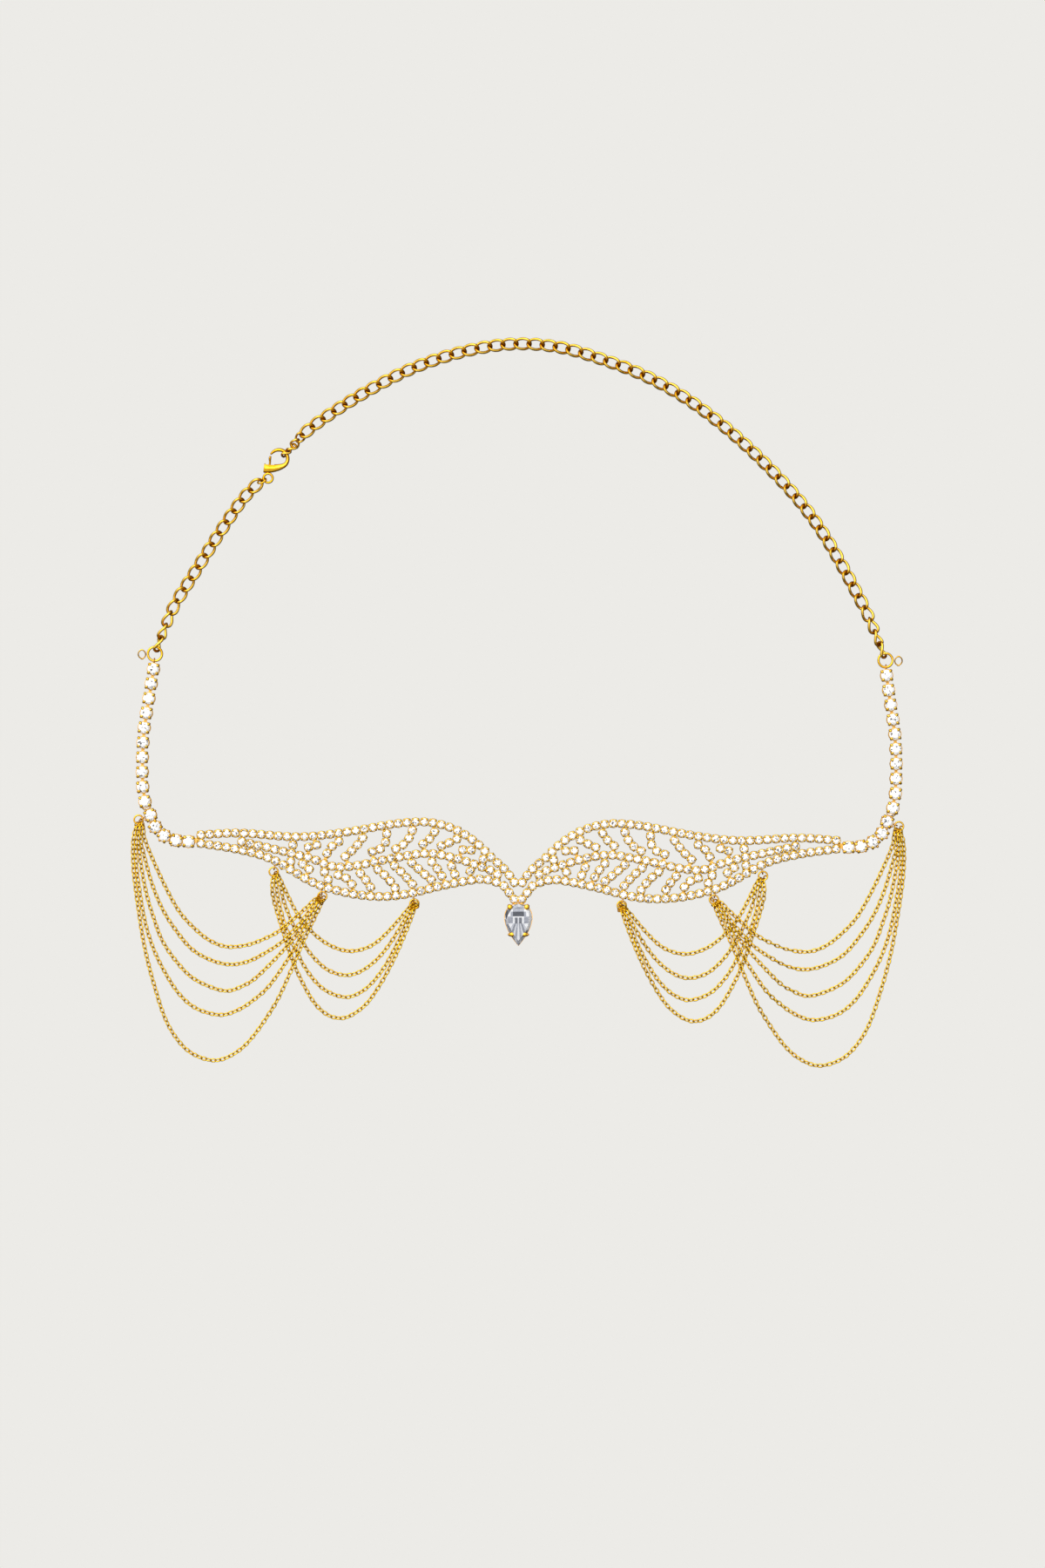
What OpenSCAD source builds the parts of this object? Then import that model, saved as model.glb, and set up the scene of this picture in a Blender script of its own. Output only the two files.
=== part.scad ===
// A rhinestone head chain with two leaf wings, side straps, draped swags and a chain over the head.
// It lies flat and face up: +Z points up from the surface, +Y towards the top of the loop, +X to the right.
// Plan points are [u, y]: u is the distance out from the middle, so each serves both sides.

/* [Wings] */
// Distance from one small stone to the next
row_pitch = 2.3; // [2.28:0.01:2.32]
// Width of a small stone's cup
small_cup_w = 2.44; // [2.4:0.01:2.48]
// Width of a small stone
small_stone_w = 1.85; // [1.7:0.05:1.9]
// Height of the wings' metal
wing_h = 1.5; // [1.3:0.1:1.7]

/* [Straps] */
// Width of a strap stone's cup
strap_cup_w = 3.5; // [3.45:0.05:3.55]
// Width of a strap stone
strap_stone_w = 2.9; // [2.7:0.05:2.9]
// Height of a strap stone's cup
strap_cup_h = 2.1; // [2:0.05:2.2]

/* [Pear stone] */
// Width of the pear stone
pear_w = 7; // [6.8:0.1:7.1]
// Length of the pear stone
pear_l = 10.9; // [10.8:0.1:11]
// Height of the pear stone's setting
setting_h = 3; // [2.8:0.1:3.2]

/* [Chain over the head] */
// Width of a curb link
link_w = 3.1; // [3:0.05:3.2]
// Thickness of a curb link's wire
link_wire = 0.6; // [0.54:0.01:0.6]
// Distance from one curb link to the next
link_pitch = 3.55; // [3.53:0.01:3.57]

/* [Swags] */
// Thickness of a swag chain
swag_wire = 0.8; // [0.7:0.05:0.8]

/* [Clasp] */
// Thickness of the clasp
clasp_t = 1.2; // [1.15:0.05:1.25]
// Thickness of the lever where it sits in its slot
lever_t = 0.45; // [0.4:0.01:0.48]

/* [Hidden] */
$fn = 32;
sides = ["left", "right"];
gold = "goldenrod";
crystal = "aliceblue";
gap = 0.12;                      // least clearance between loose pieces
right_turn = 1;                  // how far the right side is turned, and about which point
turn_at = [0, -44];
table_share = 0.62;              // width of a cut stone's table, as a share of the stone's
crown_share = 0.34;              // height of a cut stone, as a share of its width

// Rows of small stones, each a smooth line through these points
top_line = [[1.1, -49.1], [3.6, -45.7], [7.6, -42.1], [11, -38.7], [14.8, -36], [18.6, -34.2], [23.3, -33],
    [27.8, -32.8], [34.6, -33.5], [48.2, -35.8], [60, -36.8], [75, -35.8], [85.6, -36.3]];
middle_line = [[5.6, -46.9], [7.4, -45.9], [15.9, -42.9], [24.4, -41.3], [33.4, -42.5], [47.8, -45],
    [56.4, -42.5], [65.6, -40.2], [74.6, -38.1]];
bottom_line = [[1.1, -53.7], [2.4, -52], [3.7, -50.2], [6, -49], [8.9, -48.3], [12, -48.4], [20.6, -50],
    [29.8, -52.2], [36.4, -52.9], [43.5, -52.4], [50.3, -50.9], [56.4, -48.6], [66.6, -42.8], [75.7, -40.2],
    [85.6, -38.6]];

// Veins of small stones: u and y of the first stone, heading, turn at each stone, number of stones
upper_veins = [
    [9.5, -42.9, -60, 0, 1],
    [12.7, -40.4, 3, 0, 2],
    [16.6, -37.4, -26, 3, 3],
    [22.6, -35.5, -54, 15, 3],
    [28.6, -35.1, -66, 18, 4],
    [35.5, -36, -82, 31, 4],
    [42, -37.1, -53, 6, 4],
    [48.4, -38.1, -35, -20, 3],
    [54.4, -39, -16, 0, 2],
    [60.8, -39, -90, 0, 1]];
lower_veins = [
    [13, -46.1, -100, 0, 1],
    [18, -44.8, -112, 0, 2],
    [23.3, -43.6, -128, 6, 3],
    [28.7, -43.9, -138, -1, 4],
    [33.4, -44.6, -137, 3, 4],
    [37.9, -45.6, -140, 7, 4],
    [42.6, -46.7, -130, 8, 3],
    [48.6, -47.1, -158, 24, 3],
    [52.3, -46.3, -116, 0, 2],
    [58.2, -44.1, -140, 0, 2],
    [61.4, -43.5, -90, 0, 1]];

// Soldered cups that carry each wing's outer end, from the strap to the rows
tail_line = [[99.2, -31], [97.9, -34.1], [95.5, -36.5], [92.2, -37.8], [88.9, -38.1]];
tail_cups = 5;
tail_bar_at = [85.6, -37.5];
tail_bar_w = 1.4;
vein_bar_w = 0.9;
// Loose cups of each strap, from the end ring down
strap_line = [[98.4, 8.4], [99.6, 0.7], [100.9, -7.4], [101.4, -15.4], [101.3, -23.5], [100.7, -27.3]];
strap_cups = 10;
prong_r = 0.25;
prong_tip_r = 0.34;
prong_rise = 0.25;               // height of a prong's tip over the cup's rim
hook_z = 0.5;                    // height of the bars that hook the cups together, and their section
hook_w = 0.8;
hook_t = 0.4;
hook_head_w = 1.3;

// Middle of each end ring and of each pin loop
end_ring = [98, 12.5];
end_ring_r = 1.9;
end_ring_wire = 0.65;
pin_loop = [101.5, 12.4];
pin_loop_r = 1.35;
pin_loop_straight = 0.7;
pin_loop_wire = 0.35;
pin_loop_tip = 25;
ring_z = 1.6;                    // height of the end rings over the surface

// Small eyes that carry the swag rings, each on the cup nearest to u and y, heading outwards from it
eye_cups = [
    [99.2, -31, -20],
    [65.5, -43.3, -80],
    [53.4, -49.9, -100],
    [28.5, -52, -98]];
swag_ring_r = 1.2;
swag_ring_wire = 0.45;
swag_ring_z = 1.1;
eye_r = 0.64;
eye_wire = 0.4;

// Routes of the outer swags from ring a to ring c, as u, y and height of the middle of the chain
outer_routes = [
    [[101.2, -33.6, 0.4], [100.9, -37, 0.4], [98.8, -42.5, 0.4], [95.2, -50.3, 0.4], [91.7, -56.6, 0.4],
        [88, -60.9, 0.4], [83.5, -64.6, 0.4], [78.8, -66.4, 0.4], [73.4, -66, 0.4], [68.6, -64.3, 1.2],
        [64, -61.8, 1.5], [58, -56.6, 1.5], [54.7, -53.5, 1.5]],
    [[101.6, -34, 1.4], [101.8, -38, 1.3], [100.8, -42.5, 0.4], [98.8, -49.6, 0.4], [96.2, -55.9, 0.4],
        [92.9, -61.3, 0.4], [88.4, -66.8, 0.4], [83.5, -69.8, 0.4], [78.3, -71.2, 0.4], [73.6, -70.6, 0.5],
        [69.2, -68.6, 1.5], [63.5, -64.9, 1.6], [58.8, -60, 2.4], [54.5, -54, 2.4]],
    [[102.1, -34.1, 0.4], [102.5, -38, 0.4], [101.9, -43.7, 0.4], [100.4, -51.9, 0.4], [98.5, -58.3, 0.4],
        [96, -64.9, 0.4], [91.7, -71.1, 0.4], [87, -75.4, 0.4], [79.5, -78.3, 0.4], [74.4, -77, 0.5],
        [69.8, -73.9, 1.5], [61.2, -64.9, 1.5], [57.2, -59, 1.5], [54.1, -54.3, 1.5]],
    [[102.6, -34.1, 1.4], [103.2, -38.5, 1.3], [102.9, -46.1, 0.5], [101.1, -57.8, 0.4], [99.2, -64.9, 0.4],
        [96.4, -71.4, 0.4], [91.9, -78.7, 0.4], [87, -83, 0.4], [80.7, -84.8, 0.4], [75.9, -83.6, 0.4],
        [71.2, -80.6, 0.5], [66.6, -76.2, 1.5], [60.2, -66.6, 1.6], [56.4, -59, 2.4], [53.7, -54.6, 2.4]],
    [[103.1, -34, 0.4], [103.9, -38, 0.4], [103.8, -46.1, 0.4], [102.3, -57.8, 0.4], [100.7, -67.2, 0.4],
        [98.3, -76.6, 0.4], [95.2, -86, 0.4], [91.4, -92.2, 0.4], [87.3, -95.6, 0.4], [81.9, -97.1, 0.4],
        [76.9, -95.4, 0.4], [72.5, -91.7, 0.4], [67.6, -85, 0.5], [63.8, -78.4, 1.5], [57.6, -64.2, 1.5],
        [53.1, -54.8, 1.5]]];
// Routes of the inner swags from ring b to ring d
inner_routes = [
    [[64.6, -47.5, 0.4], [62, -53.1, 0.4], [59.5, -57.8, 0.4], [56.5, -61.6, 0.4], [52.9, -64.8, 0.4],
        [49.4, -66.7, 0.4], [45.9, -67.6, 0.4], [42.4, -67.2, 0.4], [38.8, -65.6, 0.4], [35.3, -62.5, 0.4],
        [31.8, -58.6, 0.4], [29.7, -56.1, 0.4]],
    [[65, -47.8, 1.4], [63.9, -51, 1.4], [63.2, -54.5, 0.4], [60.5, -61.1, 0.4], [57.4, -66.5, 0.4],
        [54.6, -70, 0.4], [51.2, -72.8, 0.4], [46.8, -74.1, 0.4], [42.8, -73.2, 0.4], [38.8, -70.4, 0.4],
        [35.4, -66.6, 0.5], [32.3, -61.9, 1.4], [29.3, -56.6, 1.4]],
    [[65.5, -48.1, 0.4], [65.2, -51, 0.4], [64.4, -55.5, 0.4], [62.3, -62.5, 0.4], [59.3, -68.9, 0.4],
        [56.1, -74.2, 0.4], [52.2, -78.1, 0.4], [47.1, -80, 0.4], [43.3, -79.1, 0.4], [39.8, -76.5, 0.4],
        [36.5, -72.4, 0.4], [33.8, -67.7, 0.4], [31.2, -62.5, 0.4], [28.9, -56.9, 0.4]],
    [[66.2, -48.2, 1.4], [66.4, -51, 1.4], [65.7, -55, 0.4], [64.1, -60.4, 0.4], [61.6, -68.4, 0.4],
        [58.8, -75, 0.4], [55.3, -81.2, 0.4], [51.8, -84.6, 0.4], [48.2, -85.7, 0.4], [44.9, -84.8, 0.4],
        [41, -81.8, 0.4], [37.6, -77.1, 0.5], [34.4, -71.4, 1.4], [31.4, -64.9, 1.4], [28.3, -57.1, 1.4]]];

// Middle of the clasp's hook, and the height of the clasp over the links below it
clasp_at = [-64.6, 65.1];
clasp_z = 0.75;
hook_r = 2.9;
hook_hole_r = 1.9;
pivot = [-2.5, -2.3];
lever_reach = 3.03;
pivot_r = 0.3;
tail_loop = [-2.9, -5.2];
tail_loop_r = 1.25;
tail_loop_wire = 0.5;
clasp_ring_r = 1.2;
clasp_ring_wire = 0.5;
clasp_ring_turn = 24;
clasp_ring_tilt = -28;

// Middle line of the chain, from the left ring to the clasp and from the right ring to the short links
left_line = [[-97.6, 13.6], [-96.3, 17], [-94.5, 21.6], [-92.6, 26], [-88.4, 32.7], [-83, 41.4],
    [-77.2, 50.3], [-73.4, 55.4], [-69.6, 59]];
right_line = [[98.55, 11.9], [96.6, 17.2], [94.1, 23.3], [91.6, 28.2], [87.8, 35.4], [82.4, 44.7],
    [76.2, 53.3], [69, 61.3], [61, 69.1], [52.3, 76.4], [43.2, 82.7], [33.3, 87.9], [23, 91.8],
    [12.6, 94.9], [2.7, 96.1], [-6.7, 95.6], [-17.3, 93.4], [-27.7, 89.9], [-37.3, 85.3], [-46.6, 79.9],
    [-52.5, 76], [-55.6, 73.8], [-58.3, 71.5]];
// How far the first link is rolled on its side, how many links it takes to lie flat and how many to sink
end_roll = 90;
roll_links = 4;
sink_links = 7;
link_slack = 0.2;                // how much longer a link is inside than the pitch needs
// Short links from the hook on: x, y and z of the middle, heading, roll and half the length
short_links = [
    [-62.64, 66.68, 1.35, 39.4, 99.7, 1.41],
    [-61.07, 67.95, 1.34, 41, -74.3, 1.25],
    [-60.09, 69.32, 1.15, 52, 34.2, 1.25],
    [-58.94, 70.79, 0.94, 51.7, -8.9, 1.25]];
short_link_w = 2.7;
short_link_wire = 0.45;

function mix(a, b, t) = a + (b - a) * t;
function bend(p, i, t) = let (a = p[max(i - 1, 0)], b = p[i], c = p[i + 1], d = p[min(i + 2, len(p) - 1)])
    0.5 * (2 * b + (c - a) * t + (2 * a - 5 * b + 4 * c - d) * t * t + (3 * b - 3 * c + d - a) * t * t * t);
function smooth(p) = [for (i = [0:len(p) - 2]) each [for (k = [0:7]) bend(p, i, k / 8)], p[len(p) - 1]];
function runs(p) = [for (i = 0, s = 0; i < len(p);
    s = s + (i + 1 < len(p) ? norm(p[i + 1] - p[i]) : 0), i = i + 1) s];
function total(p) = let (r = runs(p)) r[len(r) - 1];
function along(p, r, s) = let (i = min(len([for (x = r) if (x <= s) x]) - 1, len(p) - 2))
    mix(p[i], p[i + 1], (s - r[i]) / (r[i + 1] - r[i]));
// n points at even distances along a smooth line
function spaced(line, n) = let (p = smooth(line), r = runs(p), end = r[len(r) - 1])
    [for (k = [0:n - 1]) along(p, r, end * k / (n - 1))];
function row(line) = spaced(line, 1 + round(total(smooth(line)) / row_pitch));
function vein(v) = [for (k = 0, p = [v[0], v[1]], h = v[2]; k < v[4];
    p = p + row_pitch * [cos(h), sin(h)], h = h + v[3], k = k + 1) p];
function nearest(p, spots) = let (d = [for (q = spots) norm(q - p)]) spots[search(min(d), d)[0]];
function heading(a, b) = atan2(b[1] - a[1], b[0] - a[0]);

top_row = row(top_line);
middle_row = row(middle_line);
bottom_row = row(bottom_line);
vein_spots = [for (v = concat(upper_veins, lower_veins)) each vein(v)];
small_spots = concat(top_row, middle_row, bottom_row, vein_spots);
strap_spots = spaced(strap_line, strap_cups);
tail = spaced(tail_line, tail_cups);
swag_eyes = [for (e = eye_cups) let (
    cup = nearest([e[0], e[1]], concat(bottom_row, tail)),
    reach = (e[0] > 90 ? strap_cup_w : small_cup_w) / 2 + 0.5)
    [cup[0] + reach * cos(e[2]), cup[1] + reach * sin(e[2]), e[2]]];
seat_play = 0.15;
seat_floor = wing_h - 0.6;
strap_seat = strap_cup_h - 0.5;
pear_at = -60.45;                // y of the pear stone's middle
pear_prongs = [[2.5, -55.3], [2.55, -63.1]];
pear_prong_r = 0.28;
pear_tip_r = 0.33;
pear_prong_rise = 0.8;
pear_wall = 0.34;

// The left side is the plan mirrored. The right side is the plan turned a little, so that its tip lies lower.
module on_side(side) {
    if (side == "left") mirror([1, 0, 0]) children();
    else translate(turn_at) rotate(-right_turn) translate(-turn_at) children();
}

// A flat bar from a to b in plan
module bar(a, b, w) {
    translate(a) rotate(heading(a, b)) translate([0, -w / 2]) square([norm(b - a), w]);
}

module ring(r, wire) {
    rotate_extrude() translate([r, 0]) circle(d = wire);
}

// A cut stone: a crown with eight facets under a flat table
module cut_stone(w, z) {
    translate([0, 0, z]) cylinder(d1 = w, d2 = table_share * w, h = crown_share * w, $fn = 8);
}

module vein_bars(veins, from_row, to_row) {
    for (v = veins) let (s = vein(v)) {
        bar(nearest(s[0], from_row), s[0], vein_bar_w);
        bar(s[len(s) - 1], nearest(s[len(s) - 1], to_row), vein_bar_w);
    }
}

module wing_plan() {
    for (p = small_spots) translate(p) circle(d = small_cup_w);
    vein_bars(upper_veins, top_row, middle_row);
    vein_bars(lower_veins, middle_row, bottom_row);
    bar(tail_bar_at, tail[tail_cups - 1], tail_bar_w);
}

// A large cup with four prongs, still without the stone's seat
module strap_cup() {
    cylinder(d = strap_cup_w, h = strap_cup_h);
    for (a = [45:90:315]) rotate(a) {
        translate([strap_cup_w / 2, 0]) cylinder(r = prong_r, h = strap_cup_h + prong_rise);
        translate([strap_cup_w / 2, 0, strap_cup_h + prong_rise]) sphere(r = prong_tip_r, $fn = 24);
    }
}

module strap_seat_cut() {
    translate([0, 0, strap_seat - gap]) cylinder(d = strap_stone_w + seat_play, h = 3);
}

// The bar that hooks a cup into the cup above it, heading along +X from the middle of its own cup
module hook_bar(pitch) {
    root = strap_cup_w / 2 - 0.15;
    head = pitch - 1.1;
    translate([root, -hook_w / 2, hook_z]) cube([head + hook_t / 2 - root, hook_w, hook_t]);
    translate([head, -hook_head_w / 2, hook_z]) cube([hook_t, hook_head_w, hook_t]);
}

// The hollow that takes the bar of the cup below, which comes in along +X
module hook_pocket() {
    play = 0.2;
    slot_w = hook_w + 0.34;
    translate([0, 0, hook_z - play]) cylinder(r = 1.4, h = hook_t + 2 * play);
    translate([0, -slot_w / 2, hook_z - play]) cube([3, slot_w, hook_t + 2 * play]);
}

function pear_half(t) = [sin(t) * sin(t / 2) / 0.7698, -cos(t)];
function pear_plan(grow, n) = [for (k = [0:n - 1]) let (t = 360 * k / n, p = pear_half(t))
    [(pear_w / 2 + grow) * sign(180 - t) * abs(p[0]), pear_at + (pear_l / 2 + grow) * p[1]]];

module pear_setting() {
    difference() {
        linear_extrude(setting_h) polygon(pear_plan(pear_wall, 32));
        translate([0, 0, setting_h - 0.9]) linear_extrude(5) polygon(pear_plan(0.1, 32));
    }
    for (s = [-1, 1], p = pear_prongs) translate([s * p[0], p[1]]) {
        cylinder(r = pear_prong_r, h = setting_h + pear_prong_rise);
        translate([0, 0, setting_h + pear_prong_rise]) sphere(r = pear_tip_r, $fn = 24);
    }
}

// A small upright eye round the wire of a flat ring
module eye(p, turn, z) {
    translate([p[0], p[1], z]) rotate(turn) rotate([90, 0, 0]) ring(eye_r, eye_wire);
}

// Both wings, with all their stones' seats cut
module wings() {
    difference() {
        linear_extrude(wing_h) for (side = sides) on_side(side) wing_plan();
        for (side = sides) on_side(side) for (p = small_spots) translate([p[0], p[1], seat_floor])
            cylinder(d = small_stone_w + seat_play, h = 3);
    }
}

// The soldered cups at a wing's outer end, and the bar that hooks them into the strap
module wing_tail() {
    difference() {
        for (p = tail) translate(p) strap_cup();
        for (p = tail) translate(p) strap_seat_cut();
    }
    translate(tail[0]) rotate(heading(tail[0], strap_spots[strap_cups - 1]))
        hook_bar(norm(tail[0] - strap_spots[strap_cups - 1]));
}

module headpiece_frame() {
    color(gold) {
        wings();
        for (side = sides) on_side(side) {
            wing_tail();
            for (e = swag_eyes) eye(e, e[2], swag_ring_z);
        }
        pear_setting();
    }
}

module pear_stone() {
    n = 16;
    steps = [[0.75, setting_h - 0.8], [1, setting_h - 0.1], [1, setting_h + 0.1], [0.6, setting_h + 1.2]];
    points = [for (s = steps) each [for (p = pear_plan(0, n))
        [p[0] * s[0], pear_at + (p[1] - pear_at) * s[0], s[1]]]];
    last = n * (len(steps) - 1);
    color("lightsteelblue") polyhedron(points, concat(
        [[for (k = [0:n - 1]) k]],
        [for (j = [0:len(steps) - 2], k = [0:n - 1]) let (a = j * n + k, b = j * n + (k + 1) % n)
            [a, a + n, b + n, b]],
        [[for (k = [n - 1:-1:0]) last + k]]));
}

module small_stones(side) {
    color(crystal) on_side(side) for (p = top_row) translate(p) cut_stone(small_stone_w, seat_floor + gap);
}

module strap(side) {
    color(gold) on_side(side) for (k = [0:strap_cups - 1]) let (
        here = strap_spots[k],
        above = k > 0 ? strap_spots[k - 1] : end_ring,
        below = k < strap_cups - 1 ? strap_spots[k + 1] : tail[0])
    difference() {
        union() {
            translate(here) rotate(heading(here, above)) {
                strap_cup();
                if (k > 0) hook_bar(norm(above - here));
            }
            if (k == 0) eye(mix(above, here, end_ring_r / norm(here - above)), heading(here, above), ring_z);
        }
        translate(here) strap_seat_cut();
        translate(here) rotate(heading(here, below)) hook_pocket();
    }
}

module strap_stones(side) {
    color(crystal) on_side(side) for (p = concat(strap_spots, tail)) translate(p)
        cut_stone(strap_stone_w, strap_seat);
}

module end_ring(side) {
    color(gold) on_side(side) translate([end_ring[0], end_ring[1], ring_z]) ring(end_ring_r, end_ring_wire);
}

// A thin rounded loop, tipped so that one side lies over the end ring's wire and the other under it
module pin_loop(side) {
    color(gold) on_side(side) translate([pin_loop[0], pin_loop[1], ring_z]) rotate([pin_loop_tip, 0, 0])
        for (s = [-1, 1]) {
            translate([s * pin_loop_straight / 2, 0, 0]) rotate(s * 90)
                rotate_extrude(angle = 180) translate([pin_loop_r, 0]) circle(d = pin_loop_wire);
            translate([-pin_loop_straight / 2, s * pin_loop_r, 0]) rotate([0, 90, 0])
                cylinder(d = pin_loop_wire, h = pin_loop_straight);
        }
}

// A curb link, long along X, twisted so that it lies flat through its neighbours
function link_path(half_l, half_w, n) = [for (k = [0:n - 1]) let (t = 360 * k / n)
    [half_l * cos(t), half_w * sin(t), half_w / 2 * sin(2 * t)]];
function link_drop(half_l, roll) = link_wire / 2
    - min([for (p = link_path(half_l, (link_w - link_wire) / 2, 40)) p[1] * sin(roll) + p[2] * cos(roll)]);

module link(half_l, w, wire) {
    n = 10;
    facets = 5;
    path = link_path(half_l, (w - wire) / 2, n);
    step = 360 / facets;
    points = [for (k = [0:n - 1]) let (
        ahead = path[(k + 1) % n] - path[(k + n - 1) % n],
        along = ahead / norm(ahead),
        across = cross([0, 0, 1], along) / norm(cross([0, 0, 1], along)),
        up = cross(along, across))
        each [for (j = [0:facets - 1])
            path[k] + wire / 2 * (across * cos(step * j) + up * sin(step * j))]];
    polyhedron(points, [for (k = [0:n - 1], j = [0:facets - 1]) let (
        a = k * facets + j, b = k * facets + (j + 1) % facets,
        c = (k + 1) % n * facets + (j + 1) % facets, d = (k + 1) % n * facets + j) [d, c, b, a]]);
}

// A run of links along a line, rolled on their side towards its start
module curb_chain(line) {
    count = round(total(smooth(line)) / link_pitch);
    joints = spaced(line, count + 1);
    half_l = (total(smooth(line)) / count + link_wire + link_slack) / 2;
    color(gold) for (k = [0:count - 1]) let (
        roll = end_roll * max(0, 1 - k / roll_links),
        sunk = mix(link_drop(half_l, end_roll), link_drop(half_l, 0), min(1, k / sink_links)),
        p = mix(joints[k], joints[k + 1], 0.5))
        translate([p[0], p[1], max(link_drop(half_l, roll), sunk)]) rotate(heading(joints[k], joints[k + 1]))
            rotate([roll, 0, 0]) link(half_l, link_w, link_wire);
}

// The short links that join the long chain to the clasp's hook
module short_chain() {
    color(gold) for (s = short_links) translate([s[0], s[1], s[2]]) rotate([s[4], 0, s[3]])
        link(s[5], short_link_w, short_link_wire);
}

module hook_plan() {
    difference() {
        circle(r = hook_r);
        circle(r = hook_hole_r);
        polygon([[0, 0], [-4 * cos(24), 4 * sin(24)], [-5, 0], [-5, -1.4], [0, -1.4]]);
    }
}

module horn_plan() {
    polygon([[-3.95, -1.3], [-4.2, -3.7], [-2.4, -4.05], [-1, -3.6], [0.9, -2.6], [1.5, -1.9], [1.2, -1.3]]);
}

module clasp_body() {
    color(gold) translate([clasp_at[0], clasp_at[1], clasp_z]) {
        difference() {
            union() {
                linear_extrude(clasp_t) {
                    hook_plan();
                    horn_plan();
                }
                translate([tail_loop[0], tail_loop[1], clasp_t / 2]) ring(tail_loop_r, tail_loop_wire);
            }
            translate([-3.6, -3.3, (clasp_t - lever_t) / 2 - gap]) cube([2.4, 4, lever_t + 2 * gap]);
        }
        translate([pivot[0], pivot[1], 0.1]) cylinder(r = pivot_r, h = clasp_t - 0.2);
    }
}

module gate_plan() {
    intersection() {
        difference() {
            circle(r = hook_r - 0.1);
            circle(r = hook_hole_r + 0.15);
        }
        translate(pivot) circle(r = lever_reach);
        translate([-4, -0.7]) square([4, 4]);
    }
}

module clasp_lever() {
    color(gold) translate([clasp_at[0], clasp_at[1], clasp_z]) difference() {
        union() {
            translate([0, 0, 0.15]) linear_extrude(clasp_t - 0.3) gate_plan();
            translate([0, 0, (clasp_t - lever_t) / 2]) linear_extrude(lever_t) {
                translate(pivot) circle(r = 0.8);
                bar(pivot, [-2.3, -0.3], 0.6);
            }
        }
        translate([pivot[0], pivot[1], -1]) cylinder(r = pivot_r + 0.06, h = 4);
    }
}

// The jump ring that joins the clasp's tail loop to the left chain
module clasp_ring() {
    away = tail_loop_r + clasp_ring_r - (tail_loop_wire + clasp_ring_wire) / 2 - gap;
    color(gold) translate([clasp_at[0] + tail_loop[0] - away * cos(clasp_ring_turn),
        clasp_at[1] + tail_loop[1] - away * sin(clasp_ring_turn), clasp_z + clasp_t / 2])
        rotate(clasp_ring_turn) rotate([90 - clasp_ring_tilt, 0, 0]) ring(clasp_ring_r, clasp_ring_wire);
}

module swag_ring(n, side) {
    e = swag_eyes[n];
    middle = [e[0] + swag_ring_r * cos(e[2]), e[1] + swag_ring_r * sin(e[2]), swag_ring_z];
    color(gold) on_side(side) translate(middle) ring(swag_ring_r, swag_ring_wire);
}

// A tube along a route, with eight long facets
module swag(route, side) {
    n = len(route);
    facets = 8;
    step = 360 / facets;
    points = [for (k = [0:n - 1]) let (
        ahead = route[min(k + 1, n - 1)] - route[max(k - 1, 0)],
        across = cross(ahead, [0, 0, 1]) / norm(cross(ahead, [0, 0, 1])),
        up = cross(across, ahead) / norm(ahead))
        each [for (j = [0:facets - 1])
            route[k] + swag_wire / 2 * (across * cos(step * j) + up * sin(step * j))]];
    color(gold) on_side(side) polyhedron(points, concat(
        [[for (j = [facets - 1:-1:0]) j]],
        [for (k = [0:n - 2], j = [0:facets - 1]) let (a = k * facets + j, b = k * facets + (j + 1) % facets)
            [b, b + facets, a + facets, a]],
        [[for (j = [0:facets - 1]) (n - 1) * facets + j]]));
}

headpiece_frame();
pear_stone();
for (side = sides) {
    small_stones(side);
    strap(side);
    strap_stones(side);
    end_ring(side);
    pin_loop(side);
    for (n = [0:3])
        swag_ring(n, side);
    for (n = [1:5])
        swag(outer_routes[n - 1], side);
    for (n = [1:4])
        swag(inner_routes[n - 1], side);
}
curb_chain(left_line);  // curb_chain_left
curb_chain(right_line);  // curb_chain_right
short_chain();
clasp_body();
clasp_lever();
clasp_ring();
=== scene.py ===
import bpy
import bmesh
import math
import numpy
from mathutils import Matrix, Vector


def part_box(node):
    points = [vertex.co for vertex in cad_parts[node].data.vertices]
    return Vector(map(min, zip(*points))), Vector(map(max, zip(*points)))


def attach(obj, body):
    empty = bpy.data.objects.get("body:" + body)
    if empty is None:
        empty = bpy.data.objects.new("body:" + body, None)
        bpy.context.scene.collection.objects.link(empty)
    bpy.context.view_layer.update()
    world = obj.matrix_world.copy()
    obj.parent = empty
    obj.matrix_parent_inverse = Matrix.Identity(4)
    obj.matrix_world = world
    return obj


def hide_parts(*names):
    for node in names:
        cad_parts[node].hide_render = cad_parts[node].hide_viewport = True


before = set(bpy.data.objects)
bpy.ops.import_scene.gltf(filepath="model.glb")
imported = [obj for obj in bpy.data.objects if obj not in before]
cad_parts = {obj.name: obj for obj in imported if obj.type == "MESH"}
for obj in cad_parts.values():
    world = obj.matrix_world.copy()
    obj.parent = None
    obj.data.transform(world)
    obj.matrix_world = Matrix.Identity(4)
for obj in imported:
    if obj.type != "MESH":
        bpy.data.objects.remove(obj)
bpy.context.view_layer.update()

# lengths in the dictionaries are in millimetres and angles in degrees, unless a note says otherwise
mm = 0.001
scene = bpy.context.scene
sides = ("left", "right")
body = "headpiece"

# the photo's frame, and how many millimetres one of its pixels covers
photo = {"width": 1200, "height": 1800, "mmPerPixel": 0.235, "middleX": 595.3, "middleY": 804}
cameraSettings = {"lens": 100, "sensorHeight": 24, "farthest": 10000}


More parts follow.
